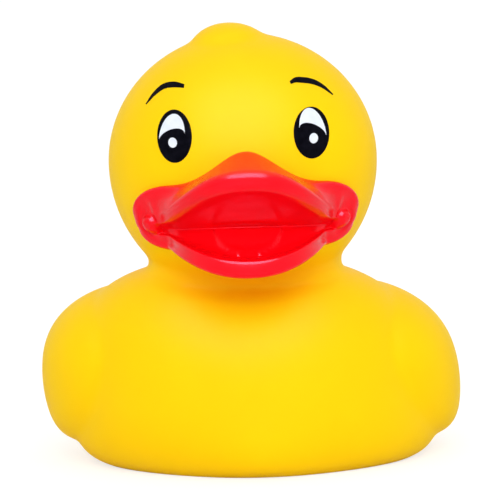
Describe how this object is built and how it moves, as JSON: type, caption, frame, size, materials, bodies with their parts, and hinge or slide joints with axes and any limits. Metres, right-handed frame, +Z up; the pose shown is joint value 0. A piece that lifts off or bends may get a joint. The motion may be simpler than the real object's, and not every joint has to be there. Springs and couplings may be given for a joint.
{
  "type": "rubber duck",
  "caption": "Hollow soft vinyl bath duck with an open painted bill, printed eyes, side wings and a squeaker pressed into its flat base.",
  "frame": {"origin": "middle of the bounding box's bottom face, on the surface that the duck stands on", "axes": "+Z up; the duck looks towards -Y; +X is on the right as seen from in front, which is the duck's left side"},
  "size_m": [0.0754, 0.085, 0.0783],
  "materials": {
    "yellow_vinyl": "satin soft vinyl",
    "red_bill_paint": "gloss paint",
    "black_eye_ink": "gloss ink",
    "white_eye_ink": "satin ink",
    "squeaker_plastic": "satin",
    "reed_brass": "bright"
  },
  "bodies": {
    "root": {"duck_body": "yellow_vinyl", "squeaker_housing": "squeaker_plastic", "squeaker_reed": "reed_brass"}
  },
  "joints": []
}
